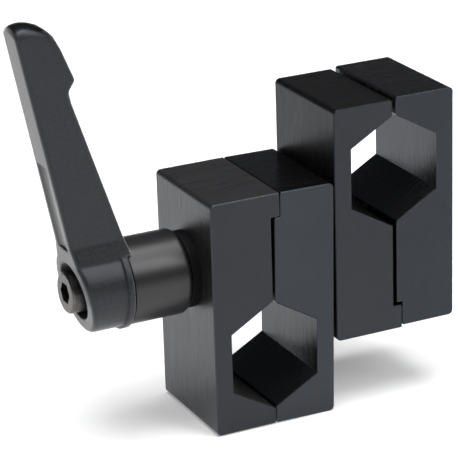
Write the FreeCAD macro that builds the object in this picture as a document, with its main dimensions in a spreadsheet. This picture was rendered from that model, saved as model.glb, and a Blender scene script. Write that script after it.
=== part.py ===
import FreeCAD, Part
import math
import os
import Sketcher
from types import SimpleNamespace

# A swivel clamp for two hexagonal rods.
# Two split clamps sit side by side on one screw, and the second is turned half round against the first.
# Each clamp is two jaws cut from a drawn aluminium profile, which rock on a nose at one end.
# A lever on the screw draws all four jaws together.
# X runs along the screw, away from the lever. Y runs along the rods. Z is up.
# The origin is the middle of the foot of the jaw beside the lever.

# Driving sizes, in millimetres
SIZES = {
    # Jaws: each is a length of profile, stood on the end where its hexagon is
    "jaw_width": 13.4,
    "jaw_height": 50.0,
    "jaw_depth": 25.6,
    "slot_width": 0.85,
    "corner_radius": 1.0,
    "sawn_edge_chamfer": 0.15,
    "mouth_radius": 0.45,
    # The rod opening
    "rod_across_flats": 20.0,
    "notch_depth": 9.5,
    "notch_height": 15.2,
    "nose_jaw_relief": 0.55,
    "shoulder_jaw_relief": 0.13,
    # The nose that a clamp rocks on, and the shoulder that it sits over
    "nose_length": 2.0,
    "nose_height": 5.1,
    "nose_gap": 0.15,
    "nose_radius": 0.3,
    # How the four jaws hang on the screw
    "bore_height": 32.6,
    "bore_diameter": 9.0,
    "clamp_gap": 0.25,
    "hanging_play": 0.23,
    # Screw, nut and washers
    "stud_diameter": 8.0,
    "stud_chamfer": 0.8,
    "stud_socket_depth": 7.0,
    "stud_end_setback": 0.6,
    "thread_play": 0.3,
    "nut_across_flats": 13.0,
    "nut_length": 6.5,
    "nut_setback": 0.3,
    "nut_pocket_play": 0.35,
    "nut_seat_gap": 0.2,
    "swivel_washer_diameter": 20.0,
    "swivel_washer_thickness": 0.3,
    "thrust_washer_diameter": 16.0,
    "thrust_washer_thickness": 2.0,
    "thrust_washer_radius": 0.4,
    "bush_gap": 0.2,
    # The toothed bush that carries the lever
    "bush_diameter": 17.7,
    "bush_length": 12.8,
    "bush_edge_radius": 1.1,
    "bush_chamfer": 0.3,
    "tooth_count": 24,
    "tooth_tip_diameter": 12.0,
    "tooth_root_diameter": 10.6,
    "tooth_length": 2.2,
    "tooth_share": 0.44,
    "tooth_play": 0.12,
    "neck_diameter": 6.4,
    "neck_end": 23.0,
    "screw_hole_depth": 10.5,
    # The screw that keeps the lever on, and the spring under its head
    "screw_diameter": 5.0,
    "screw_length": 9.5,
    "screw_head_diameter": 8.6,
    "screw_head_height": 3.5,
    "screw_head_chamfer": 0.35,
    "socket_across_flats": 4.0,
    "socket_depth": 2.3,
    "spring_diameter": 7.9,
    "spring_wire": 0.6,
    "spring_turns": 3,
    "spring_gap": 0.1,
    # The lever
    "hub_diameter": 17.6,
    "flange_diameter": 18.6,
    "flange_length": 1.2,
    "hub_gap": 0.2,
    "bush_clearance": 0.3,
    "web_thickness": 0.8,
    "web_gap": 0.1,
    "web_play": 0.2,
    "counterbore_diameter": 12.0,
    "arm_height": 56.0,
    "arm_root_half_width": 5.6,
    "arm_root_height": 7.2,
    "arm_root_radius": 1.5,
    "arm_waist_half_width": 4.3,
    "arm_waist_height": 10.5,
    "arm_waist_radius": 3.0,
    "arm_tip_half_width": 3.6,
    "tip_crown_radius": 8.5,
    "outer_reach": 24.5,
    "outer_lean": 0.1905,
    "inner_reach": 11.4,
    "inner_lean": 0.317,
    # The grip: the neck starts at its height above the axis, and the tip slopes over at its height below
    # the arm's top. The other heights and reaches are each from the corner before, up the arm
    "grip_neck_height": 40.0,
    "grip_neck_top": 2.4,
    "grip_neck_reach": 0.47,
    "finger_stop_height": 2.2,
    "finger_stop_reach": 1.5,
    "tip_slope_height": 1.6,
    "tip_slope_reach": 3.9,
    "tip_bevel_reach": 4.05,
    "grip_neck_radius": 1.4,
    "finger_stop_radius": 1.0,
    "tip_radius": 1.0,
    "arm_edge_radius": 0.8,
    "hub_edge_radius": 0.9,
    "grip_edge_radius": 0.85,
    "panel_bottom": 10.5,
    "panel_top": 27.3,
    "panel_half_width": 2.5,
    "panel_depth": 0.9,
}

# How far the inner jaw of the standing clamp has rocked shut, in degrees
INNER_JAW_ROCK = 0.9

# Facts of shape, not sizes
SQRT_3 = math.sqrt(3)
HALF_TURN = 180
FULL_TURN = 360
AXIS_X = FreeCAD.Vector(1, 0, 0)
AXIS_Y = FreeCAD.Vector(0, 1, 0)
TOUCH = 0.001


class Size:
    """A size: its number, and the formula that reads it from the sheet."""

    def __init__(self, number, formula):
        self.number = number
        self.formula = formula

    def __add__(self, other):
        other = as_size(other)
        return Size(self.number + other.number, f"({self.formula} + {other.formula})")

    def __sub__(self, other):
        other = as_size(other)
        return Size(self.number - other.number, f"({self.formula} - {other.formula})")

    def __mul__(self, other):
        other = as_size(other)
        return Size(self.number * other.number, f"({self.formula} * {other.formula})")

    def __truediv__(self, other):
        other = as_size(other)
        return Size(self.number / other.number, f"({self.formula} / {other.formula})")

    def __neg__(self):
        return Size(-self.number, f"(0 - {self.formula})")


def as_size(value):
    if isinstance(value, Size):
        return value
    return Size(float(value), repr(float(value)))


def fill_sheet(document):
    """Write each driving size to a cell of its own, and give back the sizes by name."""
    sheet = document.addObject("Spreadsheet::Sheet", "Sizes")
    sizes = {}
    for row, (name, number) in enumerate(SIZES.items(), start=1):
        sheet.set(f"A{row}", name)
        sheet.set(f"B{row}", str(number))
        sheet.setAlias(f"B{row}", name)
        sizes[name] = Size(number, f"Sizes.{name}")
    document.recompute()
    return SimpleNamespace(**sizes)


doc = FreeCAD.newDocument("swivel_rod_clamp")
s = fill_sheet(doc)


# Sketches and features


def sketch_on(body, name, plane_role, offset=None):
    """A sketch on one of the body's own origin planes, or at a distance along the plane's normal."""
    plane = [part for part in body.Origin.OriginFeatures if part.Role == plane_role][0]
    sketch = body.newObject("Sketcher::SketchObject", name)
    sketch.AttachmentSupport = [(plane, "")]
    sketch.MapMode = "FlatFace"
    if offset is not None:
        sketch.AttachmentOffset = FreeCAD.Placement(FreeCAD.Vector(0, 0, offset.number), FreeCAD.Rotation())
        sketch.setExpression("AttachmentOffset.Base.z", offset.formula)
    return sketch


def bind(sketch, constraint, label, size):
    """Add a dimension to a sketch and tie it to the sheet."""
    index = sketch.addConstraint(constraint)
    sketch.renameConstraint(index, label)
    sketch.setExpression(f"Constraints.{label}", size.formula)


def pin_point(sketch, edge, end, label, across, up):
    """Hold a point of a sketch at its two distances from the sketch's origin."""
    across = as_size(across)
    up = as_size(up)
    if abs(across.number) < TOUCH:
        sketch.addConstraint(Sketcher.Constraint("PointOnObject", edge, end, -2))
    else:
        distance = Sketcher.Constraint("DistanceX", -1, 1, edge, end, across.number)
        bind(sketch, distance, f"{label}_across", across)
    if abs(up.number) < TOUCH:
        sketch.addConstraint(Sketcher.Constraint("PointOnObject", edge, end, -1))
    else:
        distance = Sketcher.Constraint("DistanceY", -1, 1, edge, end, up.number)
        bind(sketch, distance, f"{label}_up", up)


def add_outline(sketch, corners):
    """A closed outline of straight edges through the given corners."""
    points = [FreeCAD.Vector(as_size(x).number, as_size(y).number, 0) for x, y in corners]
    following = points[1:] + points[:1]
    edges = [sketch.addGeometry(Part.LineSegment(*pair)) for pair in zip(points, following)]
    for edge, after in zip(edges, edges[1:] + edges[:1]):
        sketch.addConstraint(Sketcher.Constraint("Coincident", edge, 2, after, 1))
    for edge, (across, up) in zip(edges, corners):
        pin_point(sketch, edge, 1, f"corner{edge}", across, up)


def add_circle(sketch, radius, across=0, up=0):
    centre = FreeCAD.Vector(as_size(across).number, as_size(up).number, 0)
    circle = sketch.addGeometry(Part.Circle(centre, FreeCAD.Vector(0, 0, 1), radius.number))
    bind(sketch, Sketcher.Constraint("Radius", circle, radius.number), f"radius{circle}", radius)
    pin_point(sketch, circle, 3, f"centre{circle}", across, up)


def hexagon_corners(across_flats, across=0, up=0):
    """Corners of a hexagon with two level flats, above and below its centre."""
    across = as_size(across)
    up = as_size(up)
    corner = across_flats / SQRT_3
    flat = across_flats / 2
    return [
        (across + corner, up),
        (across + corner / 2, up + flat),
        (across - corner / 2, up + flat),
        (across - corner, up),
        (across - corner / 2, up - flat),
        (across + corner / 2, up - flat),
    ]


def new_body(name):
    body = doc.addObject("PartDesign::Body", name)
    body.Label = name
    return body


def pad(body, name, sketch, length, symmetric=False, reverse=False):
    feature = body.newObject("PartDesign::Pad", name)
    feature.Profile = sketch
    feature.setExpression("Length", length.formula)
    feature.SideType = "Symmetric" if symmetric else "One side"
    feature.Reversed = reverse
    return feature


def pocket(body, name, sketch, depth=None, forwards=False):
    """A cut of the given depth against the sketch's normal, or along it, or right through both ways."""
    feature = body.newObject("PartDesign::Pocket", name)
    feature.Profile = sketch
    if depth is None:
        feature.Type = "ThroughAll"
        feature.SideType = "Symmetric"
    else:
        feature.setExpression("Length", depth.formula)
        feature.Reversed = forwards
    return feature


def turned(body, name, corners, kind="PartDesign::Revolution"):
    """A shape turned about the X axis from its half outline, given as distances along and from the axis."""
    sketch = sketch_on(body, f"{name}_outline", "XZ_Plane")
    add_outline(sketch, corners)
    feature = body.newObject(kind, name)
    feature.Profile = sketch
    feature.ReferenceAxis = (sketch, ["H_Axis"])
    feature.Angle = FULL_TURN
    return feature


def repeated_round_x(body, name, feature, count):
    """The feature repeated evenly about the X axis."""
    axis = [part for part in body.Origin.OriginFeatures if part.Role == "X_Axis"][0]
    pattern = body.newObject("PartDesign::PolarPattern", name)
    pattern.Originals = [feature]
    pattern.Axis = (axis, [""])
    pattern.Angle = FULL_TURN
    pattern.setExpression("Occurrences", count.formula)
    body.Tip = pattern
    return pattern


def dress(body, name, kind, edge_test, size):
    """A fillet or chamfer on every edge of the body that passes the test."""
    doc.recompute()
    base = body.Tip
    numbered = enumerate(base.Shape.Edges, start=1)
    names = [f"Edge{number}" for number, edge in numbered if edge_test(edge)]
    if not names:
        raise RuntimeError(f"{name} found no edges")
    feature = body.newObject(kind, name)
    feature.Base = (base, names)
    feature.setExpression("Radius" if kind.endswith("Fillet") else "Size", size.formula)
    doc.recompute()
    return feature


def middle(edge):
    return edge.valueAt((edge.FirstParameter + edge.LastParameter) / 2)


def lies_along_y_at(places):
    """A test for straight edges that run along Y through one of the given places in X and Z."""
    spots = [(as_size(x).number, as_size(z).number) for x, z in places]

    def test(edge):
        span = edge.BoundBox
        along_y = span.XLength < TOUCH and span.ZLength < TOUCH and span.YLength > TOUCH
        point = middle(edge)
        return along_y and any(math.hypot(point.x - x, point.z - z) < TOUCH for x, z in spots)

    return test


def runs_across_at(half_width, height):
    """A test for straight edges that run along X, at the given height and half width."""

    def test(edge):
        span = edge.BoundBox
        point = middle(edge)
        level = span.YLength < TOUCH and span.ZLength < TOUCH
        at_side = abs(abs(point.y) - half_width.number) < TOUCH
        return level and at_side and abs(point.z - height.number) < TOUCH

    return test


def ring_edge_at(along, radius):
    """A test for circular edges about the X axis, at a place along it."""

    def test(edge):
        span = edge.BoundBox
        point = middle(edge)
        flat = span.XLength < TOUCH and abs(point.x - as_size(along).number) < TOUCH
        return flat and abs(math.hypot(point.y, point.z) - as_size(radius).number) < TOUCH

    return test


# Places that more than one piece uses

clamp_width = s.jaw_width * 2 + s.slot_width
shoulder_face = s.jaw_width + s.slot_width
nose_tip = s.jaw_width + s.nose_length
nose_foot = s.jaw_height - s.nose_height
rock_height = s.jaw_height - s.nose_height / 2
first_clamp_start = -s.jaw_width / 2
second_clamp_start = first_clamp_start + clamp_width + s.clamp_gap
far_face = second_clamp_start + clamp_width
axis_height = s.bore_height


# The four jaws


def notch_corners(slot_face, depth, relief):
    """The half hexagon cut into a jaw, from the upper mouth to the lower one."""
    half_flat = s.rod_across_flats / SQRT_3 / 2 + relief
    half_mouth = half_flat + s.notch_depth / SQRT_3
    return [
        (slot_face, s.notch_height + half_mouth),
        (slot_face + depth, s.notch_height + half_flat),
        (slot_face + depth, s.notch_height - half_flat),
        (slot_face, s.notch_height - half_mouth),
    ]


def round_sawn_end(edge):
    """Whether an edge goes round one of the two ends where a jaw was sawn from its profile."""
    span = edge.BoundBox
    return span.YLength < TOUCH and abs(abs(span.YMin) - s.jaw_depth.number / 2) < TOUCH


def make_jaw(name, corners, outer_corners, mouth_corners, nose_corners):
    """A jaw from its profile, with the bore for the screw, rounded as the drawn profile is."""
    body = new_body(name)
    profile = sketch_on(body, f"{name}_profile", "XZ_Plane")
    add_outline(profile, corners)
    pad(body, f"{name}_length", profile, s.jaw_depth, symmetric=True)
    dress(body, f"{name}_corners", "PartDesign::Fillet", lies_along_y_at(outer_corners), s.corner_radius)
    dress(body, f"{name}_mouths", "PartDesign::Fillet", lies_along_y_at(mouth_corners), s.mouth_radius)
    dress(body, f"{name}_nose", "PartDesign::Fillet", lies_along_y_at(nose_corners), s.nose_radius)
    dress(body, f"{name}_sawn_edges", "PartDesign::Chamfer", round_sawn_end, s.sawn_edge_chamfer)
    bore = sketch_on(body, f"{name}_bore_circle", "YZ_Plane")
    add_circle(bore, s.bore_diameter / 2, 0, s.bore_height)
    pocket(body, f"{name}_bore", bore)
    return body


def make_nose_jaw(name):
    """The jaw that carries the nose. It starts at X = 0 and its slot face looks along X."""
    upper, upper_flat, lower_flat, lower = notch_corners(s.jaw_width, -s.notch_depth, s.nose_jaw_relief)
    corners = [
        (0, 0),
        (s.jaw_width, 0),
        lower,
        lower_flat,
        upper_flat,
        upper,
        (s.jaw_width, nose_foot),
        (nose_tip, nose_foot),
        (nose_tip, s.jaw_height),
        (0, s.jaw_height),
    ]
    outer_corners = [corners[0], corners[9]]
    mouth_corners = [corners[1], lower, upper]
    return make_jaw(name, corners, outer_corners, mouth_corners, [corners[7], corners[8]])


def make_shoulder_jaw(name):
    """The jaw that faces it, with a shoulder under the nose."""
    upper, upper_flat, lower_flat, lower = notch_corners(shoulder_face, s.notch_depth, s.shoulder_jaw_relief)
    shoulder_height = nose_foot - s.nose_gap
    nose_seat = nose_tip + s.nose_gap
    corners = [
        (clamp_width, 0),
        (clamp_width, s.jaw_height),
        (nose_seat, s.jaw_height),
        (nose_seat, shoulder_height),
        (shoulder_face, shoulder_height),
        upper,
        upper_flat,
        lower_flat,
        lower,
        (shoulder_face, 0),
    ]
    outer_corners = [corners[0], corners[1]]
    mouth_corners = [upper, lower, corners[9]]
    return make_jaw(name, corners, outer_corners, mouth_corners, [corners[2], corners[4]])


def stand_in_first_clamp(body, rock=0.0):
    """Put a jaw in the standing clamp, rocked about the middle of the nose's tip."""
    pivot = FreeCAD.Vector(nose_tip.number, 0, rock_height.number)
    start = FreeCAD.Placement(FreeCAD.Vector(first_clamp_start.number, 0, 0), FreeCAD.Rotation())
    body.Placement = start * FreeCAD.Placement(FreeCAD.Vector(), FreeCAD.Rotation(AXIS_Y, rock), pivot)


def hang_in_second_clamp(body, lift):
    """Put a jaw in the turned clamp, which hangs on the screw with its hexagon up."""
    top = axis_height + s.bore_height + lift
    place = FreeCAD.Vector(second_clamp_start.number, 0, top.number)
    body.Placement = FreeCAD.Placement(place, FreeCAD.Rotation(AXIS_X, HALF_TURN))


def make_jaws():
    lever_jaw = make_nose_jaw("clamp_a_lever_jaw")
    stand_in_first_clamp(lever_jaw)
    inner_jaw = make_shoulder_jaw("clamp_a_inner_jaw")
    stand_in_first_clamp(inner_jaw, INNER_JAW_ROCK)
    swivel_jaw = make_nose_jaw("clamp_b_inner_jaw")
    hang_in_second_clamp(swivel_jaw, -s.hanging_play)
    nut_jaw = make_shoulder_jaw("clamp_b_nut_jaw")
    depth = s.nut_length + s.nut_setback + s.nut_seat_gap
    hexagon = sketch_on(nut_jaw, "nut_pocket_hexagon", "YZ_Plane", clamp_width)
    pocket_across_flats = s.nut_across_flats + s.nut_pocket_play * 2
    add_outline(hexagon, hexagon_corners(pocket_across_flats, 0, s.bore_height))
    pocket(nut_jaw, "nut_pocket", hexagon, depth)
    hang_in_second_clamp(nut_jaw, s.hanging_play)
    return [lever_jaw, inner_jaw, swivel_jaw, nut_jaw]


# Pieces on the screw's axis, drawn with X = 0 at the face that the lever bears on

bush_face = -s.thrust_washer_thickness - s.bush_gap
bush_back = bush_face - s.bush_length
tooth_end = bush_back - s.tooth_length
stud_start = bush_face - s.stud_socket_depth
head_seat = -s.neck_end
hub_face = bush_back - s.hub_gap
web_start = tooth_end - s.web_gap
web_end = web_start - s.web_thickness


def stand_on_axis(body, along=0):
    """Put a turned piece on the screw's axis, at a distance from the face that the lever bears on."""
    start = first_clamp_start + along
    body.Placement = FreeCAD.Placement(FreeCAD.Vector(start.number, 0, axis_height.number), FreeCAD.Rotation())


def make_washer(name, diameter, thickness, bore):
    body = new_body(name)
    corners = [(0, bore / 2), (0, diameter / 2), (-thickness, diameter / 2), (-thickness, bore / 2)]
    turned(body, f"{name}_turning", corners)
    return body


def make_thrust_washer():
    """The ring that the bush turns against."""
    bore = s.stud_diameter + s.thread_play
    body = make_washer("thrust_washer", s.thrust_washer_diameter, s.thrust_washer_thickness, bore)
    rim = ring_edge_at(-s.thrust_washer_thickness, s.thrust_washer_diameter / 2)
    dress(body, "thrust_washer_rim", "PartDesign::Fillet", rim, s.thrust_washer_radius)
    stand_on_axis(body)
    return body


def make_swivel_washer():
    """The thin disc that the two clamps swivel on, against the turned clamp's face."""
    bore = s.stud_diameter + s.thread_play * 2
    body = make_washer("swivel_washer", s.swivel_washer_diameter, s.swivel_washer_thickness, bore)
    stand_on_axis(body, clamp_width + s.clamp_gap)
    return body


def make_stud():
    """The long stud from the bush to the nut, chamfered at both ends."""
    body = new_body("threaded_stud")
    radius = s.stud_diameter / 2
    end = clamp_width * 2 + s.clamp_gap - s.stud_end_setback
    corners = [
        (stud_start, 0),
        (stud_start, radius - s.stud_chamfer),
        (stud_start + s.stud_chamfer, radius),
        (end - s.stud_chamfer, radius),
        (end, radius - s.stud_chamfer),
        (end, 0),
    ]
    turned(body, "stud_turning", corners)
    stand_on_axis(body)
    return body


def make_nut():
    """The nut that the stud screws into, in the far face. Its corners are turned off at both ends."""
    body = new_body("hexagon_nut")
    hexagon = sketch_on(body, "nut_hexagon", "YZ_Plane")
    add_outline(hexagon, hexagon_corners(s.nut_across_flats))
    pad(body, "nut_body", hexagon, s.nut_length, reverse=True)
    bore = sketch_on(body, "nut_bore_circle", "YZ_Plane")
    add_circle(bore, s.stud_diameter / 2 + s.thread_play)
    pocket(body, "nut_bore", bore)
    corner = s.nut_across_flats / SQRT_3
    land = s.nut_across_flats / 2
    for name, end, slope_end in (
        ("outer", as_size(0), (land - corner) / SQRT_3),
        ("inner", -s.nut_length, -s.nut_length - (land - corner) / SQRT_3),
    ):
        beyond = corner + s.nut_setback
        corners = [(end, land), (slope_end, corner), (slope_end, beyond), (end, beyond)]
        turned(body, f"nut_{name}_corners", corners, "PartDesign::Groove")
    stand_on_axis(body, clamp_width * 2 + s.clamp_gap - s.nut_setback)
    return body


def tooth_gap_corners(inner, outer, play):
    """The gap between two teeth, above the axis, on a piece whose teeth point outwards or inwards."""
    turn = math.pi / s.tooth_count.number
    share = as_size(1) - s.tooth_share
    inner_half = inner * share * turn + play
    outer_half = outer * share * turn + play
    return [(-inner_half, inner), (-outer_half, outer), (outer_half, outer), (inner_half, inner)]


def make_bush():
    """The turned steel bush: a smooth barrel, a ring of teeth for the lever, and a neck for its screw."""
    body = new_body("lever_bush")
    barrel = s.bush_diameter / 2
    stud_hole = s.stud_diameter / 2
    screw_hole = s.screw_diameter / 2
    tooth_tip = s.tooth_tip_diameter / 2
    neck = s.neck_diameter / 2
    hole_end = head_seat + s.screw_hole_depth
    corners = [
        (bush_face, stud_hole),
        (bush_face, barrel),
        (bush_back, barrel),
        (bush_back, tooth_tip),
        (tooth_end, tooth_tip),
        (tooth_end, neck),
        (head_seat, neck),
        (head_seat, screw_hole),
        (hole_end, screw_hole),
        (hole_end, 0),
        (stud_start, 0),
        (stud_start, stud_hole),
    ]
    turned(body, "bush_turning", corners)
    dress(body, "bush_edge", "PartDesign::Fillet", ring_edge_at(bush_face, barrel), s.bush_edge_radius)
    dress(body, "bush_shoulder", "PartDesign::Chamfer", ring_edge_at(bush_back, barrel), s.bush_chamfer)
    gap = sketch_on(body, "bush_tooth_gap_outline", "YZ_Plane", tooth_end)
    add_outline(gap, tooth_gap_corners(s.tooth_root_diameter / 2, tooth_tip + s.tooth_play, as_size(0)))
    cut = pocket(body, "bush_tooth_gap", gap, s.tooth_length, forwards=True)
    repeated_round_x(body, "bush_teeth", cut, s.tooth_count)
    stand_on_axis(body)
    return body


def make_screw():
    """The socket screw that keeps the lever on the bush."""
    body = new_body("retaining_screw")
    head = s.screw_head_diameter / 2
    shank = s.screw_diameter / 2
    top = head_seat - s.screw_head_height
    tip = head_seat + s.screw_length
    corners = [(tip, 0), (tip, shank), (head_seat, shank), (head_seat, head), (top, head), (top, 0)]
    turned(body, "screw_turning", corners)
    dress(body, "screw_head_edge", "PartDesign::Chamfer", ring_edge_at(top, head), s.screw_head_chamfer)
    socket = sketch_on(body, "screw_socket_hexagon", "YZ_Plane", top)
    add_outline(socket, hexagon_corners(s.socket_across_flats))
    pocket(body, "screw_socket", socket, s.socket_depth, forwards=True)
    stand_on_axis(body)
    return body


def make_spring():
    """The coil spring that holds the lever down on its teeth."""
    body = new_body("lever_spring")
    wire = s.spring_wire / 2
    first = head_seat + s.spring_gap + wire
    last = web_end - s.spring_gap - wire
    section = sketch_on(body, "spring_wire_section", "XZ_Plane")
    add_circle(section, wire, first, s.spring_diameter / 2)
    coil = body.newObject("PartDesign::AdditiveHelix", "spring_coil")
    coil.Profile = section
    coil.ReferenceAxis = (section, ["H_Axis"])
    coil.Mode = "height-turns-angle"
    coil.setExpression("Height", (last - first).formula)
    coil.setExpression("Turns", s.spring_turns.formula)
    stand_on_axis(body)
    return body


# The lever: a cast hub with a flat-sided arm that leans away from the clamp

tip_slope_start = s.arm_height - s.tip_slope_height


def outer_face(height):
    """Where the lever's outer face is, at a height above the axis."""
    return -s.outer_reach - s.outer_lean * height


def inner_face(height):
    """Where the arm's inner face is, between the hub and the grip's neck."""
    return -s.inner_reach - s.inner_lean * height


def add_arm(body):
    """The arm from the side: straight outer face, tapering inner face, finger stop and bevelled tip."""
    profile = sketch_on(body, "arm_profile", "XZ_Plane")
    neck_start = (inner_face(s.grip_neck_height), s.grip_neck_height)
    neck_end = (neck_start[0] - s.grip_neck_reach, neck_start[1] + s.grip_neck_top)
    finger_stop = (neck_end[0] + s.finger_stop_reach, neck_end[1] + s.finger_stop_height)
    tip_slope = (finger_stop[0] - s.tip_slope_reach, tip_slope_start)
    uncut_top = s.arm_height + s.tip_radius
    corners = [
        (inner_face(as_size(0)), 0),
        neck_start,
        neck_end,
        finger_stop,
        tip_slope,
        (tip_slope[0] - s.tip_bevel_reach, uncut_top),
        (outer_face(uncut_top), uncut_top),
        (outer_face(as_size(0)), 0),
    ]
    add_outline(profile, corners)
    pad(body, "arm", profile, s.arm_root_half_width * 2, symmetric=True)
    neck = lies_along_y_at([neck_start, neck_end])
    dress(body, "arm_neck_rounding", "PartDesign::Fillet", neck, s.grip_neck_radius)
    stop = lies_along_y_at([finger_stop])
    dress(body, "arm_stop_rounding", "PartDesign::Fillet", stop, s.finger_stop_radius)
    slope = lies_along_y_at([tip_slope])
    dress(body, "arm_slope_rounding", "PartDesign::Fillet", slope, s.tip_radius)


def narrow_arm(body):
    """The two flat sides, which narrow fast above the hub and then slowly up to the tip."""
    beyond = s.arm_root_half_width + s.tip_radius
    top = s.arm_height + s.tip_radius
    for name, side in (("front", -1), ("rear", 1)):
        waste = sketch_on(body, f"arm_{name}_waste", "YZ_Plane")
        corners = [
            (s.arm_root_half_width * side, s.arm_root_height),
            (s.arm_waist_half_width * side, s.arm_waist_height),
            (s.arm_tip_half_width * side, top),
            (beyond * side, top),
            (beyond * side, s.arm_root_height),
        ]
        add_outline(waste, corners)
        pocket(body, f"arm_{name}_side", waste)
    waist = runs_across_at(s.arm_waist_half_width, s.arm_waist_height)
    dress(body, "arm_waist_rounding", "PartDesign::Fillet", waist, s.arm_waist_radius)
    root = runs_across_at(s.arm_root_half_width, s.arm_root_height)
    dress(body, "arm_root_rounding", "PartDesign::Fillet", root, s.arm_root_radius)


def from_outer_face(point):
    """How far a point is from the lever's sloping outer face, along X."""
    return point.x - outer_face(as_size(point.z)).number


def crosses_crown(edge):
    """Whether an edge is the one where the sloping end of the arm meets the crown."""
    ends = [vertex.Point for vertex in edge.Vertexes]
    across = len(ends) == 2 and abs(ends[0].y + ends[1].y) < TOUCH and abs(ends[0].y) > TOUCH
    high = all(point.z > tip_slope_start.number for point in ends)
    return across and high and from_outer_face(ends[0]) > TOUCH and middle(edge).z > ends[0].z + TOUCH


def on_grip_edge(edge):
    """Whether an edge runs along the arm's side, and not round its outer face or across it."""
    points = [vertex.Point for vertex in edge.Vertexes] + [middle(edge)]
    same_side = all(point.y > TOUCH for point in points) or all(point.y < -TOUCH for point in points)
    off_face = max(from_outer_face(point) for point in points) > TOUCH
    level = edge.BoundBox.ZLength < TOUCH and points[0].z < tip_slope_start.number
    return same_side and off_face and not level and points[0].z > TOUCH


def crown_tip(body):
    """Round the top of the arm over from front to rear."""
    waste = sketch_on(body, "tip_crown_outline", "YZ_Plane")
    half = s.arm_root_half_width + s.tip_radius
    radius = s.tip_crown_radius
    centre_height = s.arm_height - radius
    top = s.arm_height + s.tip_radius * 2
    side_height = centre_height.number + math.sqrt(radius.number ** 2 - half.number ** 2)
    crown = FreeCAD.Vector(0, s.arm_height.number, 0)
    left = FreeCAD.Vector(-half.number, side_height, 0)
    right = FreeCAD.Vector(half.number, side_height, 0)
    top_left = FreeCAD.Vector(-half.number, top.number, 0)
    top_right = FreeCAD.Vector(half.number, top.number, 0)
    arc = waste.addGeometry(Part.Arc(right, crown, left))
    left_side = waste.addGeometry(Part.LineSegment(left, top_left))
    lid = waste.addGeometry(Part.LineSegment(top_left, top_right))
    right_side = waste.addGeometry(Part.LineSegment(top_right, right))
    waste.addConstraint(Sketcher.Constraint("Coincident", arc, 2, left_side, 1))
    waste.addConstraint(Sketcher.Constraint("Coincident", left_side, 2, lid, 1))
    waste.addConstraint(Sketcher.Constraint("Coincident", lid, 2, right_side, 1))
    waste.addConstraint(Sketcher.Constraint("Coincident", right_side, 2, arc, 1))
    waste.addConstraint(Sketcher.Constraint("Vertical", left_side))
    waste.addConstraint(Sketcher.Constraint("Vertical", right_side))
    pin_point(waste, lid, 1, "lid_start", -half, top)
    pin_point(waste, lid, 2, "lid_end", half, top)
    pin_point(waste, arc, 3, "crown_centre", 0, centre_height)
    bind(waste, Sketcher.Constraint("Radius", arc, radius.number), "crown_radius", radius)
    pocket(body, "tip_crown", waste)
    dress(body, "tip_crown_rounding", "PartDesign::Fillet", crosses_crown, s.tip_radius)
    dress(body, "grip_edges", "PartDesign::Fillet", on_grip_edge, s.grip_edge_radius)


def add_hub(body):
    """The round hub with its flange, cut off by the slope of the outer face."""
    hub = s.hub_diameter / 2
    flange = s.flange_diameter / 2
    flange_back = hub_face - s.flange_length
    beyond = outer_face(hub)
    corners = [
        (hub_face, 0),
        (hub_face, flange),
        (flange_back, flange),
        (flange_back, hub),
        (beyond, hub),
        (beyond, 0),
    ]
    turned(body, "hub", corners)
    waste = sketch_on(body, "outer_face_waste", "XZ_Plane")
    above = s.arm_height * 1.5
    corners = [
        (outer_face(-s.hub_diameter), -s.hub_diameter),
        (outer_face(above), above),
        (outer_face(above * 2), -s.hub_diameter),
    ]
    add_outline(waste, corners)
    pocket(body, "outer_face_slope", waste)


def on_outer_rim(edge):
    """Whether an edge goes round the lever's sloping outer face, and not across the axis."""
    points = [vertex.Point for vertex in edge.Vertexes] + [middle(edge)]
    on_face = all(abs(point.x - outer_face(as_size(point.z)).number) < TOUCH for point in points)
    return on_face and abs(points[-1].z) > TOUCH


def hollow_hub(body):
    """The bores of the hub: for the screw's head and the spring, round the neck, and over the bush."""
    counterbore = s.counterbore_diameter / 2
    web_bore = s.neck_diameter / 2 + s.web_play
    tooth_bore = s.tooth_root_diameter / 2 + s.tooth_play
    bush_bore = s.bush_diameter / 2 + s.bush_clearance
    beyond = outer_face(s.hub_diameter)
    inner_end = inner_face(as_size(0))
    corners = [
        (beyond, 0),
        (beyond, counterbore),
        (web_end, counterbore),
        (web_end, web_bore),
        (web_start, web_bore),
        (web_start, tooth_bore),
        (hub_face, tooth_bore),
        (hub_face, bush_bore),
        (inner_end, bush_bore),
        (inner_end, 0),
    ]
    turned(body, "hub_bores", corners, "PartDesign::Groove")
    gap = sketch_on(body, "lever_tooth_gap_outline", "YZ_Plane", hub_face)
    tooth_room = s.tooth_tip_diameter / 2 + s.tooth_play
    add_outline(gap, lever_tooth_gap(tooth_bore - s.tooth_play, tooth_room))
    cut = pocket(body, "lever_tooth_gap", gap, hub_face - web_start)
    repeated_round_x(body, "lever_teeth", cut, s.tooth_count)


def lever_tooth_gap(inner, outer):
    """The gap in the lever's ring of teeth that one tooth of the bush fits, with play at its sides."""
    turn = math.pi / s.tooth_count.number
    shift = turn
    inner_half = inner * s.tooth_share * turn + s.tooth_play
    outer_half = outer * s.tooth_share * turn + s.tooth_play
    flat = [(-inner_half, inner), (-outer_half, outer), (outer_half, outer), (inner_half, inner)]
    cosine = math.cos(shift)
    sine = math.sin(shift)
    return [(across * cosine - up * sine, across * sine + up * cosine) for across, up in flat]


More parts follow.
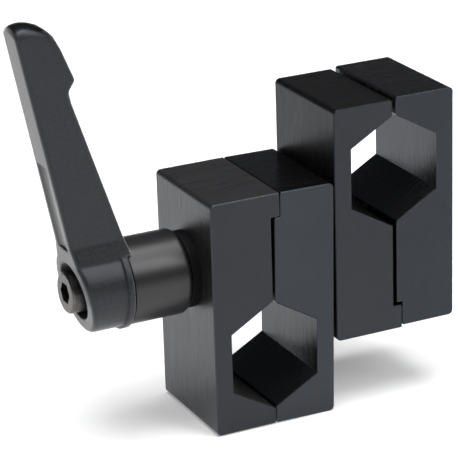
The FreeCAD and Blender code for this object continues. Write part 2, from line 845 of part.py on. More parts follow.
def sink_panel(body):
    """The shallow panel in the arm's outer face."""
    plane = [part for part in body.Origin.OriginFeatures if part.Role == "YZ_Plane"][0]
    outline = body.newObject("Sketcher::SketchObject", "panel_outline")
    outline.AttachmentSupport = [(plane, "")]
    outline.MapMode = "FlatFace"
    lean = math.degrees(math.atan(s.outer_lean.number))
    place = FreeCAD.Vector(0, 0, -s.outer_reach.number)
    outline.AttachmentOffset = FreeCAD.Placement(place, FreeCAD.Rotation(AXIS_X, -lean))
    outline.setExpression("AttachmentOffset.Base.z", (-s.outer_reach).formula)
    slope = math.hypot(1, s.outer_lean.number)
    corners = [
        (-s.panel_half_width, s.panel_bottom * slope),
        (s.panel_half_width, s.panel_bottom * slope),
        (s.panel_half_width, s.panel_top * slope),
        (-s.panel_half_width, s.panel_top * slope),
    ]
    add_outline(outline, corners)
    pocket(body, "panel", outline, s.panel_depth, forwards=True)


def make_lever():
    arm = new_body("lever_arm")
    add_arm(arm)
    narrow_arm(arm)
    crown_tip(arm)
    dress(arm, "arm_outer_edges", "PartDesign::Fillet", on_outer_rim, s.arm_edge_radius)
    body = new_body("lever_handle")
    add_hub(body)
    dress(body, "hub_outer_edge", "PartDesign::Fillet", on_outer_rim, s.hub_edge_radius)
    casting = body.newObject("PartDesign::Boolean", "arm_on_hub")
    casting.Type = "Fuse"
    casting.setObjects([arm])
    body.Tip = casting
    hollow_hub(body)
    sink_panel(body)
    stand_on_axis(body)
    return body


def check_features():
    """Stop if a feature failed, or if a cut took nothing away."""
    for item in doc.Objects:
        if "Invalid" in item.State or "Error" in item.State:
            raise RuntimeError(f"{item.Name} failed: {item.State}")
        if item.TypeId in ("PartDesign::Pocket", "PartDesign::Groove"):
            if item.Shape.Volume > item.BaseFeature.Shape.Volume - TOUCH:
                raise RuntimeError(f"{item.Name} cut nothing")


def check_and_export(bodies):
    check_features()
    os.makedirs("parts", exist_ok=True)
    for body in bodies:
        if body.Shape.isNull() or not body.Shape.isValid():
            raise RuntimeError(f"{body.Label} has no valid shape")
        body.Shape.exportStep(f"parts/{body.Label}.step")
        print(body.Label, round(body.Shape.Volume, 1), len(body.Shape.Solids))


pieces = make_jaws()
pieces += [make_thrust_washer(), make_swivel_washer(), make_stud(), make_nut()]
pieces += [make_bush(), make_screw(), make_spring(), make_lever()]
doc.recompute()
check_and_export(pieces)
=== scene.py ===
import math

import bmesh
import bpy
from mathutils import Matrix, Vector


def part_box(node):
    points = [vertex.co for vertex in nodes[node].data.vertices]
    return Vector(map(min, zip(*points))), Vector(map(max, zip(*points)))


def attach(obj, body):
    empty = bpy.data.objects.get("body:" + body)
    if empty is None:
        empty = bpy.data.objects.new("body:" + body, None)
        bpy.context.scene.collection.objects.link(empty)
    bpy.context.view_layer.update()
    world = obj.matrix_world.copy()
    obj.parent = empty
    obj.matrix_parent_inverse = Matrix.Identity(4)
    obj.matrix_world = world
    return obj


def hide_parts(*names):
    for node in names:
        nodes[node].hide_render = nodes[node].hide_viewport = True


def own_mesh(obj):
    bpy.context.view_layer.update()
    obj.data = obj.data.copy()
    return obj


# A swivel clamp for hexagonal rods, dressed round the solids of its frame.
# Metres, in the frame's own axes: X along the screw, Y along the rods, Z up.

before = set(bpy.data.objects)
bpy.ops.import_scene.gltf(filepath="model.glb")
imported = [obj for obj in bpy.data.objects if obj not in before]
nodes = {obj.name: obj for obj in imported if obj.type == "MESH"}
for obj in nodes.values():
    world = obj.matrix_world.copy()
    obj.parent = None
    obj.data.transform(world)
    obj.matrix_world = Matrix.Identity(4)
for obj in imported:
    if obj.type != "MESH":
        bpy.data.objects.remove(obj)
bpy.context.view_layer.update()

MM = 0.001
FULL_TURN = math.tau
SCREW_HEIGHT = 32.6 * MM

# Two corners of a mesh that are this near are one, and a corner that is this near a plane is on it
MERGE_DISTANCE = 0.0005 * MM
ON_PLANE_DISTANCE = 0.001 * MM


# Meshes


def piece_from(mesh_in_hand, name):
    """An object at the origin, made from a finished bmesh."""
    mesh = bpy.data.meshes.new(name)
    mesh_in_hand.to_mesh(mesh)
    mesh_in_hand.free()
    piece = bpy.data.objects.new(name, mesh)
    bpy.context.scene.collection.objects.link(piece)
    return piece


def copy_of(node):
    """A bmesh copy of a solid, with its loose triangles joined."""
    copy = bmesh.new()
    copy.from_mesh(nodes[node].data)
    bmesh.ops.remove_doubles(copy, verts=copy.verts, dist=MERGE_DISTANCE)
    return copy


def dress_copy(piece, materials, sharp_angle):
    """Give a copied solid its materials, and shade it smooth up to edges sharper than the angle."""
    mesh = piece.data
    if "custom_normal" in mesh.attributes:
        mesh.attributes.remove(mesh.attributes["custom_normal"])
    mesh.materials.clear()
    for material in materials:
        mesh.materials.append(material)
    mesh.shade_smooth()
    mesh.set_sharp_from_angle(angle=math.radians(sharp_angle))


# Effects that several finishes share


# A noise stays near a half. These are its low and high ends as grain and as brushed lines.
GRAIN_ENDS = (0.3, 0.7)
LINE_ENDS = (0.32, 0.68)

# How much closer the fine brushed lines lie than the broad ones, along each axis
FINE_LINES = (1.9, 3.1, 1.9)

# How fast the edge mask, partly wear and partly a painted highlight, sets in as a surface bends
# away from its flat face
EDGE_WEAR_AND_HIGHLIGHT_GAIN = 4.0
EDGE_SAMPLES = 4


def new_group(name, inputs, outputs):
    """An empty node group with named float or vector sockets."""
    group = bpy.data.node_groups.new(name, "ShaderNodeTree")
    for label, kind in inputs:
        group.interface.new_socket(name=label, in_out="INPUT", socket_type=kind)
    for label, kind in outputs:
        group.interface.new_socket(name=label, in_out="OUTPUT", socket_type=kind)
    start = group.nodes.new("NodeGroupInput")
    end = group.nodes.new("NodeGroupOutput")
    return group, start, end


def noise_in(tree, vector, detail, roughness):
    """Noise with about one bump to each unit of the vector."""
    noise = tree.nodes.new("ShaderNodeTexNoise")
    noise.inputs["Scale"].default_value = 1.0
    noise.inputs["Detail"].default_value = detail
    noise.inputs["Roughness"].default_value = roughness
    tree.links.new(vector, noise.inputs["Vector"])
    return noise.outputs["Fac"]


def times(tree, vector, factor):
    """A vector times a constant, or times another vector socket."""
    multiply = tree.nodes.new("ShaderNodeVectorMath")
    multiply.operation = "MULTIPLY"
    tree.links.new(vector, multiply.inputs[0])
    if isinstance(factor, tuple):
        multiply.inputs[1].default_value = factor
    else:
        tree.links.new(factor, multiply.inputs[1])
    return multiply.outputs["Vector"]


def calculate(tree, operation, first, second=None, third=None):
    """One Math node. Each value is a number or a socket."""
    maths = tree.nodes.new("ShaderNodeMath")
    maths.operation = operation
    for socket, value in zip(maths.inputs, (first, second, third)):
        if isinstance(value, (int, float)):
            socket.default_value = value
        elif value is not None:
            tree.links.new(value, socket)
    return maths.outputs["Value"]


def split(tree, vector):
    """The X, Y and Z sockets of a vector."""
    parts = tree.nodes.new("ShaderNodeSeparateXYZ")
    tree.links.new(vector, parts.inputs["Vector"])
    return parts.outputs


def brushed_lines():
    """Long fine lines of a belt-brushed face, with how many there are per metre of each axis."""
    group, start, end = new_group(
        "brushed lines",
        [("Vector", "NodeSocketVector"), ("Density", "NodeSocketVector")],
        [("Line", "NodeSocketFloat")],
    )
    broad = times(group, start.outputs["Vector"], start.outputs["Density"])
    fine = times(group, broad, FINE_LINES)
    broad_noise = noise_in(group, broad, detail=1.0, roughness=0.5)
    fine_noise = noise_in(group, fine, detail=2.0, roughness=0.6)
    both = calculate(group, "ADD", broad_noise, fine_noise)
    half = calculate(group, "MULTIPLY", both, 0.5)
    group.links.new(half, end.inputs["Line"])
    return group


def fine_grain():
    """The close grain of a sawn, moulded or coated face. Density is how many grains per metre."""
    group, start, end = new_group(
        "fine grain",
        [("Vector", "NodeSocketVector"), ("Density", "NodeSocketVector")],
        [("Grain", "NodeSocketFloat")],
    )
    scaled = times(group, start.outputs["Vector"], start.outputs["Density"])
    grain = noise_in(group, scaled, detail=3.0, roughness=0.55)
    group.links.new(grain, end.inputs["Grain"])
    return group


def turned_rings():
    """Fine rings left by a turning tool, round an axis along X at the given height."""
    group, start, end = new_group(
        "turned rings",
        [
            ("Vector", "NodeSocketVector"),
            ("Axis height", "NodeSocketFloat"),
            ("Density", "NodeSocketVector"),
        ],
        [("Ring", "NodeSocketFloat")],
    )
    here = split(group, start.outputs["Vector"])
    above = calculate(group, "SUBTRACT", here["Z"], start.outputs["Axis height"])
    above_squared = calculate(group, "MULTIPLY", above, above)
    beside_squared = calculate(group, "MULTIPLY", here["Y"], here["Y"])
    radius = calculate(group, "SQRT", calculate(group, "ADD", above_squared, beside_squared))
    joined = group.nodes.new("ShaderNodeCombineXYZ")
    group.links.new(here["X"], joined.inputs["X"])
    group.links.new(radius, joined.inputs["Y"])
    scaled = times(group, joined.outputs["Vector"], start.outputs["Density"])
    ring = noise_in(group, scaled, detail=3.0, roughness=0.6)
    group.links.new(ring, end.inputs["Ring"])
    return group


def edge_wear_and_highlight():
    """Soft edges: a mask from 0 on a face to 1 on its edge, and the normal rounded over it."""
    group, start, end = new_group(
        "edge wear and highlight",
        [("Width", "NodeSocketFloat")],
        [("Edge", "NodeSocketFloat"), ("Normal", "NodeSocketVector")],
    )
    rounded = group.nodes.new("ShaderNodeBevel")
    rounded.samples = EDGE_SAMPLES
    group.links.new(start.outputs["Width"], rounded.inputs["Radius"])
    flat = group.nodes.new("ShaderNodeNewGeometry")
    agreement = group.nodes.new("ShaderNodeVectorMath")
    agreement.operation = "DOT_PRODUCT"
    group.links.new(rounded.outputs["Normal"], agreement.inputs[0])
    group.links.new(flat.outputs["Normal"], agreement.inputs[1])
    bent = calculate(group, "SUBTRACT", 1.0, agreement.outputs["Value"])
    strong = calculate(group, "MULTIPLY", bent, EDGE_WEAR_AND_HIGHLIGHT_GAIN)
    limited = calculate(group, "MINIMUM", strong, 1.0)
    group.links.new(limited, end.inputs["Edge"])
    group.links.new(rounded.outputs["Normal"], end.inputs["Normal"])
    return group


GROUPS = {}


def effect(tree, maker, values, vector=None):
    """Place one shared effect in a material with its own values, and give back its outputs."""
    if maker not in GROUPS:
        GROUPS[maker] = maker()
    node = tree.nodes.new("ShaderNodeGroup")
    node.node_tree = GROUPS[maker]
    for label, value in values.items():
        node.inputs[label].default_value = value
    if vector is not None:
        tree.links.new(vector, node.inputs["Vector"])
    return node.outputs


# Finishes


# The greyer colour along an edge: partly anodising worn thin, partly a painted highlight
WORN_AND_HIGHLIT_ANODISING = (0.09, 0.092, 0.098)

# The jaws' brushed lines, grains and broad clouds per metre
BRUSHED_LINES = (90, 1700, 90)
SAWN_GRAINS = 2300
SAWN_CLOUDS = 70
JAW_RELIEF = 0.009 * MM
JAW_EDGE = 0.22 * MM

# The darkest share of each colour, in the bottoms of the lines and between the grains
BRUSHED_SHADE = 0.5
SAWN_SHADE = 0.45

# A face is a sawn end where its normal lies this much along the rods
SAWN_FACING = 0.8
SAWN_ROUGHNESS = (0.36, 0.56)
SAWN_MIRROR = 0.5

# Each jaw's own tone of anodising, with painted light: the lever jaw's brushed colour is painted
# lighter, as its tops mirror more light from above and behind. Mirror is how strongly its brushed
# faces mirror, roughness goes from the bottom of their lines to the top, and tint colours what all
# its faces mirror.
JAW_FINISHES = {
    "clamp_a_lever_jaw": {
        # Painted light: this brushed colour is painted lighter than the other jaws'
        "brushed": (0.021, 0.0215, 0.025), "sawn_end": (0.010, 0.0102, 0.0115),
        "roughness": (0.24, 0.42), "mirror": 0.5, "tint": (0.82, 0.89, 1.0),
    },
    "clamp_a_inner_jaw": {
        "brushed": (0.004, 0.004, 0.005), "sawn_end": (0.024, 0.026, 0.032),
        "roughness": (0.16, 0.30), "mirror": 0.5, "tint": (0.74, 0.84, 1.0),
    },
    "clamp_b_inner_jaw": {
        "brushed": (0.005, 0.005, 0.006), "sawn_end": (0.010, 0.0105, 0.014),
        "roughness": (0.24, 0.42), "mirror": 0.2, "tint": (0.78, 0.86, 1.0),
    },
    "clamp_b_nut_jaw": {
        "brushed": (0.005, 0.005, 0.006), "sawn_end": (0.012, 0.0128, 0.016),
        "roughness": (0.18, 0.32), "mirror": 0.5, "tint": (0.76, 0.85, 1.0),
    },
}

# The tool's rings per metre of length and radius, and the grains per metre over them
TURNED_RINGS = (7000, 7000, 1)
TURNED_GRAINS = 1500
TURNED_RELIEF = 0.003 * MM
TURNED_EDGE = 0.2 * MM

# An edge of turned steel, partly worn and partly a painted highlight, is this much brighter than
# its light colour
WORN_AND_HIGHLIT_STEEL_GAIN = 2.2
WORN_AND_HIGHLIT_STEEL_LIFT = 0.03

# Each turned piece of the frame: its colours from the bottom of the rings to the top, and its
# roughness from smooth to rough
TURNED_FINISHES = {
    "lever_bush": {
        "name": "blackened bush",
        "dark": (0.012, 0.0122, 0.013), "light": (0.017, 0.0172, 0.018),
        "roughness": (0.31, 0.35),
    },
    # The washer is black, and its colours are painted darker still as the shade between the bush
    # and the clamp
    "thrust_washer": {
        "name": "black washer with painted shade",
        "dark": (0.0015, 0.0015, 0.0015), "light": (0.003, 0.003, 0.003),
        "roughness": (0.6, 0.75), "mirror": 0.15,
    },
    "retaining_screw": {
        "name": "black oxide screw",
        "dark": (0.085, 0.082, 0.079), "light": (0.16, 0.156, 0.151),
        "roughness": (0.3, 0.42), "metallic": 1.0,
    },
    "hexagon_nut": {
        "name": "dark zinc nut",
        "dark": (0.16, 0.16, 0.165), "light": (0.26, 0.26, 0.27),
        "roughness": (0.3, 0.45), "metallic": 1.0,
    },
}

NYLON_GRAINS = 2600
NYLON_DARK = (0.006, 0.006, 0.006)
NYLON_LIGHT = (0.014, 0.014, 0.014)
NYLON_ROUGHNESS = (0.5, 0.65)
NYLON_RELIEF = 0.008 * MM

# The floor's board glows this much where it is seen or mirrored
BOARD_GLOW = 0.3
BOARD_GRAINS = 900
BOARD_DARK = (0.83, 0.83, 0.83)
BOARD_LIGHT = (0.87, 0.87, 0.87)
BOARD_ROUGHNESS = (0.85, 0.95)


def new_finish(name, metallic=0.0, ior=1.5):
    """A new material, with its tree, its shader and its texture coordinates."""
    material = bpy.data.materials.new(name)
    material.use_nodes = True
    tree = material.node_tree
    surface = tree.nodes["Principled BSDF"]
    surface.inputs["Metallic"].default_value = metallic
    surface.inputs["IOR"].default_value = ior
    place = tree.nodes.new("ShaderNodeTexCoord")
    return material, tree, surface, place


def between(tree, share, low, high):
    """A value or colour that goes from low to high as share goes from 0 to 1."""
    mix = tree.nodes.new("ShaderNodeMix")
    is_colour = isinstance(low, tuple) or isinstance(high, tuple)
    mix.data_type = "RGBA" if is_colour else "FLOAT"
    kind = "RGBA" if is_colour else "VALUE"
    ends = [socket for socket in mix.inputs if socket.type == kind and socket.name in ("A", "B")]
    result = [socket for socket in mix.outputs if socket.type == kind][0]
    for socket, value in zip(ends, (low, high)):
        if isinstance(value, tuple):
            socket.default_value = (*value, 1)
        elif isinstance(value, (int, float)):
            socket.default_value = value
        else:
            tree.links.new(value, socket)
    factors = [socket for socket in mix.inputs if socket.name == "Factor"]
    factor = [socket for socket in factors if socket.type == "VALUE"][0]
    tree.links.new(share, factor)
    return result


def spread(tree, value, low, high):
    """Stretch the part of a value from low to high to the full range from 0 to 1."""
    stretch = tree.nodes.new("ShaderNodeMapRange")
    stretch.inputs["From Min"].default_value = low
    stretch.inputs["From Max"].default_value = high
    tree.links.new(value, stretch.inputs["Value"])
    return stretch.outputs["Result"]


def soft_grain(tree, here, per_metre):
    """Grain of one size along all axes, which stays near a half."""
    density = (per_metre, per_metre, per_metre)
    return effect(tree, fine_grain, {"Density": density}, here)["Grain"]


def full_grain(tree, here, per_metre):
    """The same grain, from 0 to 1."""
    return spread(tree, soft_grain(tree, here, per_metre), *GRAIN_ENDS)


def shaded(colour, share):
    """The given share of a colour."""
    return tuple(channel * share for channel in colour)


def raise_surface(tree, surface, height, distance, normal=None):
    """Bump the surface by a height from 0 to 1 times the distance."""
    bump = tree.nodes.new("ShaderNodeBump")
    bump.inputs["Distance"].default_value = distance
    tree.links.new(height, bump.inputs["Height"])
    if normal is not None:
        tree.links.new(normal, bump.inputs["Normal"])
    tree.links.new(bump.outputs["Normal"], surface.inputs["Normal"])


def anodised_aluminium(name, brushed, sawn_end, roughness, mirror, tint):
    """Black anodised profile: brushed along its height, with matt, close-grained sawn ends."""
    material, tree, surface, place = new_finish(name)
    surface.inputs["Specular Tint"].default_value = (*tint, 1)
    surface.inputs["Specular IOR Level"].default_value = mirror
    here = place.outputs["Object"]
    line = effect(tree, brushed_lines, {"Density": BRUSHED_LINES}, here)["Line"]
    line = spread(tree, line, *LINE_ENDS)
    grain = full_grain(tree, here, SAWN_GRAINS)
    cloud = full_grain(tree, here, SAWN_CLOUDS)
    along_rods = calculate(tree, "ABSOLUTE", split(tree, place.outputs["Normal"])["Y"])
    sawn = calculate(tree, "GREATER_THAN", along_rods, SAWN_FACING)

    half_cloud = calculate(tree, "MULTIPLY", cloud, 0.5)
    mottle = calculate(tree, "MULTIPLY_ADD", grain, 0.5, half_cloud)
    sawn_colour = between(tree, mottle, shaded(sawn_end, SAWN_SHADE), sawn_end)
    brushed_colour = between(tree, line, shaded(brushed, BRUSHED_SHADE), brushed)
    colour = between(tree, sawn, brushed_colour, sawn_colour)
    # Edges turn greyer: partly anodising worn thin, partly a painted highlight
    edge = effect(tree, edge_wear_and_highlight, {"Width": JAW_EDGE})["Edge"]
    wear_and_highlight = calculate(tree, "MULTIPLY", edge, calculate(tree, "MULTIPLY_ADD", grain, 0.5, 0.1))
    colour = between(tree, wear_and_highlight, colour, WORN_AND_HIGHLIT_ANODISING)
    tree.links.new(colour, surface.inputs["Base Color"])

    brushed_roughness = between(tree, line, *roughness)
    sawn_roughness = between(tree, grain, *SAWN_ROUGHNESS)
    both = between(tree, sawn, brushed_roughness, sawn_roughness)
    tree.links.new(both, surface.inputs["Roughness"])
    if mirror != SAWN_MIRROR:
        level = between(tree, sawn, mirror, SAWN_MIRROR)
        tree.links.new(level, surface.inputs["Specular IOR Level"])
    raise_surface(tree, surface, between(tree, sawn, line, grain), JAW_RELIEF)
    return material


def turned_steel(name, dark, light, roughness, metallic=0.0, mirror=0.5):
    """Turned and blackened steel, with the fine rings of the tool."""
    material, tree, surface, place = new_finish(name, metallic=metallic)
    surface.inputs["Specular IOR Level"].default_value = mirror
    here = place.outputs["Object"]
    values = {"Axis height": SCREW_HEIGHT, "Density": TURNED_RINGS}
    ring = spread(tree, effect(tree, turned_rings, values, here)["Ring"], *GRAIN_ENDS)
    grain = full_grain(tree, here, TURNED_GRAINS)
    colour = between(tree, between(tree, ring, 0.0, grain), dark, light)
    # Edges turn brighter: partly worn bare steel, partly a painted highlight
    edge = effect(tree, edge_wear_and_highlight, {"Width": TURNED_EDGE})["Edge"]
    wear_and_highlight = calculate(tree, "MULTIPLY", edge, calculate(tree, "MULTIPLY", grain, 0.5))
    brighter = tuple(
        min(1.0, channel * WORN_AND_HIGHLIT_STEEL_GAIN + WORN_AND_HIGHLIT_STEEL_LIFT) for channel in light
    )
    colour = between(tree, wear_and_highlight, colour, brighter)
    tree.links.new(colour, surface.inputs["Base Color"])
    tree.links.new(between(tree, grain, *roughness), surface.inputs["Roughness"])
    raise_surface(tree, surface, ring, TURNED_RELIEF)
    return material


def moulded_nylon():
    """The black nylon disc between the two clamps."""
    material, tree, surface, place = new_finish("nylon disc", ior=1.53)
    grain = full_grain(tree, place.outputs["Object"], NYLON_GRAINS)
    tree.links.new(between(tree, grain, NYLON_DARK, NYLON_LIGHT), surface.inputs["Base Color"])
    tree.links.new(between(tree, grain, *NYLON_ROUGHNESS), surface.inputs["Roughness"])
    raise_surface(tree, surface, grain, NYLON_RELIEF)
    return material


def pale_board():
    """The floor, lit to white where it is seen or mirrored, which keeps the object's shadow."""
    material, tree, surface, place = new_finish("pale board")
    grain = soft_grain(tree, place.outputs["Object"], BOARD_GRAINS)
    tree.links.new(between(tree, grain, BOARD_DARK, BOARD_LIGHT), surface.inputs["Base Color"])
    tree.links.new(between(tree, grain, *BOARD_ROUGHNESS), surface.inputs["Roughness"])
    surface.inputs["Specular IOR Level"].default_value = 0.0
    ray = tree.nodes.new("ShaderNodeLightPath").outputs
    seen = calculate(tree, "ADD", ray["Is Camera Ray"], ray["Is Glossy Ray"])
    seen = calculate(tree, "ADD", seen, ray["Is Transmission Ray"])
    seen = calculate(tree, "MINIMUM", seen, 1.0)
    glow = calculate(tree, "MULTIPLY", seen, BOARD_GLOW)
    tree.links.new(glow, surface.inputs["Emission Strength"])
    surface.inputs["Emission Color"].default_value = (1, 1, 1, 1)
    return material


def finish_node(node, material):
    """Give a solid's every material slot one finish."""
    mesh = nodes[node].data
    if not mesh.materials:
        mesh.materials.append(material)
    for index in range(len(mesh.materials)):
        mesh.materials[index] = material


def finish_solids():
    """Put a finish on each solid of the frame that stays in sight."""
    for node, looks in JAW_FINISHES.items():
        finish_node(node, anodised_aluminium("anodised " + node, **looks))
    for node, looks in TURNED_FINISHES.items():
        finish_node(node, turned_steel(**looks))
    finish_node("swivel_washer", moulded_nylon())


# The stage


# The camera, fitted to the photo: its place, and its turn, dip and tilt in degrees
CAMERA_PLACE = (-0.19679, -0.42019, 0.21390)
CAMERA_YAW = 25.4383
CAMERA_PITCH = 20.5868
CAMERA_ROLL = -1.9159
CAMERA_LENS = 191.455
CAMERA_SENSOR = 36
CAMERA_SHIFT_X = 0.0033
CAMERA_SHIFT_Y = 0.0008

# The lamps look at the middle of the object
OBJECT_MIDDLE = Vector((0.005, 0, 0.04))
ROOM_COLOUR = (0.055, 0.056, 0.06, 1)

# The rocked jaw's outer corner hangs a little under the foot, so the floor lies this much lower
FLOOR_DROP = 0.2 * MM

# The floor's section, as reach from the middle and height
FLOOR_SECTION = [(0, 0), (1.6, 0), (1.9, 0.02), (2.1, 0.09), (2.2, 0.22), (2.22, 0.30)]
FLOOR_STEPS = 96
FLOOR_MERGE_DISTANCE = 0.1 * MM


def aim_camera():
    """The photo's view: where the camera stands, which way it looks and how narrow its view is."""
    yaw = math.radians(CAMERA_YAW)
    pitch = math.radians(CAMERA_PITCH)
    roll = math.radians(CAMERA_ROLL)
    ahead = Vector((
        math.sin(yaw) * math.cos(pitch),
        math.cos(yaw) * math.cos(pitch),
        -math.sin(pitch),
    ))
    level_right = Vector((math.cos(yaw), -math.sin(yaw), 0))
    level_up = level_right.cross(ahead)
    right = level_right * math.cos(roll) + level_up * math.sin(roll)
    up = level_up * math.cos(roll) - level_right * math.sin(roll)
    camera = bpy.data.cameras.new("camera")
    camera.sensor_width = CAMERA_SENSOR
    camera.lens = CAMERA_LENS
    camera.shift_x = CAMERA_SHIFT_X
    camera.shift_y = CAMERA_SHIFT_Y
    camera.clip_start = 0.01
    camera.clip_end = 20
    stand = bpy.data.objects.new("camera", camera)
    axes = Matrix((right, up, -ahead)).transposed()
    stand.matrix_world = Matrix.Translation(CAMERA_PLACE) @ axes.to_4x4()
    bpy.context.scene.collection.objects.link(stand)
    bpy.context.scene.camera = stand


def lay_floor():
    """A wide pale floor whose far rim curves up into a low wall."""
    floor_mesh = bmesh.new()
    points = [
        floor_mesh.verts.new((reach, 0, height - FLOOR_DROP)) for reach, height in FLOOR_SECTION
    ]
    edges = [floor_mesh.edges.new(pair) for pair in zip(points, points[1:])]
    bmesh.ops.spin(
        floor_mesh, geom=points + edges, cent=(0, 0, 0), axis=(0, 0, 1), angle=FULL_TURN,
        steps=FLOOR_STEPS, use_merge=True,
    )
    bmesh.ops.remove_doubles(floor_mesh, verts=floor_mesh.verts, dist=FLOOR_MERGE_DISTANCE)
    bmesh.ops.recalc_face_normals(floor_mesh, faces=floor_mesh.faces)
    floor = piece_from(floor_mesh, "floor")
    floor.data.materials.append(pale_board())


def hang_lamp(name, direction, distance, size, watts):
    """A soft square lamp that looks at the middle of the object from the given direction."""
    lamp = bpy.data.lights.new(name, "AREA")
    lamp.shape = "SQUARE"
    lamp.size = size
    lamp.energy = watts
    holder = bpy.data.objects.new(name, lamp)
    towards = Vector(direction).normalized()
    holder.location = towards * distance + OBJECT_MIDDLE
    holder.rotation_mode = "QUATERNION"
    holder.rotation_quaternion = towards.to_track_quat("Z", "Y")
    bpy.context.scene.collection.objects.link(holder)


def light_studio():
    """Two soft lamps over the object, and a dim room beyond the floor."""
    hang_lamp("overhead_lamp", (-0.02, -0.1, 1.0), distance=1.1, size=0.9, watts=16.5)
    hang_lamp("front_lamp", (0.45, -0.62, 0.75), distance=1.1, size=0.5, watts=4.4)
    world = bpy.data.worlds.new("room")
    bpy.context.scene.world = world
    world.use_nodes = True
    background = world.node_tree.nodes["Background"]
    background.inputs["Color"].default_value = ROOM_COLOUR
    background.inputs["Strength"].default_value = 1.0


# The lever's casting


# The plane of the outer face: how far out it crosses the screw's axis, and how much further out
# it leans for each unit of height above that
LEVER_OUTER_REACH = 31.2 * MM
LEVER_OUTER_LEAN = 0.1905
ALONG_ARM = Vector((-LEVER_OUTER_LEAN, 0, 1))
OUTWARDS = Vector((-1, 0, -LEVER_OUTER_LEAN)).normalized()

# The end of the arm: where it is cut up, its flat top in the solid, and the dome that it becomes
TIP_START = 51.4 * MM
TIP_HALF_WIDTH = 3.64 * MM
TIP_OUTER_END = -42.7 * MM
TIP_INNER_END = -31.7 * MM
TIP_SLICE = 0.4 * MM
FLAT_TOP = 56.0 * MM
FLAT_CROWN_RADIUS = 8.5 * MM
FLAT_SLOPE_DEPTH = 5.6 * MM
FLAT_SLOPE = 0.83
DOME_TOP = 56.5 * MM
DOME_CROWN_RADIUS = 6.4 * MM
DOME_PEAK_DEPTH = 2.5 * MM
DOME_INNER_DEPTH = 8.2 * MM
DOME_OUTER_FALL = 0.8 * MM
DOME_OUTER_CURVE = 1.6
DOME_INNER_FALL = 3.45 * MM
DOME_INNER_CURVE = 2.5
DOME_INNER_LIMIT = 1.05
DOME_EDGE_RADIUS = 0.9 * MM

# The long hollow in the arm's outer face. The margins say how near a corner has to be to count as
# one of the panel's.
HOLLOW_HALF_WIDTH = 2.5 * MM
HOLLOW_LOW_END = 10.6 * MM
HOLLOW_HIGH_END = 27.4 * MM
HOLLOW_LENGTHENED = 1.1 * MM
HOLLOW_SOLID_DEPTH = 0.9 * MM
HOLLOW_DEPTH = 0.46 * MM
HOLLOW_RIM_DEPTH = 0.06 * MM
HOLLOW_SLICE = 0.5 * MM
HOLLOW_SIDE_MARGIN = 0.05 * MM
HOLLOW_END_MARGIN = 0.3 * MM
HOLLOW_LOW_END_MARGIN = 0.2 * MM
HOLLOW_DEPTH_MARGIN = 0.02 * MM

# The painted shade starts this far inside the counterbore
COUNTERBORE_START = 0.05 * MM
COUNTERBORE_RADIUS = 6.0 * MM
COUNTERBORE_MARGIN = 0.02 * MM

# The coating: its colours from the bottom of the grain to the top, on edges (partly wear, partly a
# painted highlight) and as painted shade on the up-facing top of the tip, and its roughness from
# smooth to rough
COAT_GRAINS = 1900
COAT_CLOUDS = 120
COAT_DARK = (0.011, 0.0115, 0.013)
COAT_LIGHT = (0.021, 0.0215, 0.023)
COAT_WORN_AND_HIGHLIT = (0.04, 0.041, 0.044)
# Painted shade: the near-black colour of the up-facing top of the domed tip
COAT_TIP_TOP_SHADE = (0.0015, 0.0015, 0.0012)
COAT_ROUGHNESS = (0.34, 0.46)
COAT_TIP_TOP_ROUGHNESS = 0.32
COAT_TINT = (0.88, 0.92, 1.0, 1)
COAT_SHEEN_ROUGHNESS = 0.35
COAT_RELIEF = 0.010 * MM
COAT_SOFT_EDGE = 0.8 * MM

# The painted shade on the tip's top starts, and is full, where the tip faces up this much, and
# fades in over this height
TIP_SHADE_START = 0.52
TIP_SHADE_FULL = 0.78
TIP_SHADE_FADE = 1.5 * MM

# The counterbore's painted shade: its colours, roughness, bumps and weak mirroring
BORE_GRAINS = 1400
BORE_SHADE_DARK = (0.003, 0.003, 0.003)
BORE_SHADE_LIGHT = (0.012, 0.011, 0.010)
BORE_ROUGHNESS = (0.5, 0.7)
BORE_RELIEF = 0.008 * MM
BORE_MIRROR = 0.15

LEVER_SHARP_ANGLE = 32


def shaded_tip_top_mask(tree, place):
    """A mask for the up-facing top of the lever's domed tip, where the coat gets painted shade:
    near black, smoother and without sheen.
    """
    start = SCREW_HEIGHT + TIP_START
    facing = split(tree, place.outputs["Normal"])
    here = split(tree, place.outputs["Object"])
    upwards = spread(tree, facing["Z"], TIP_SHADE_START, TIP_SHADE_FULL)
    at_tip = spread(tree, here["Z"], start, start + TIP_SHADE_FADE)
    return calculate(tree, "MULTIPLY", upwards, at_tip)


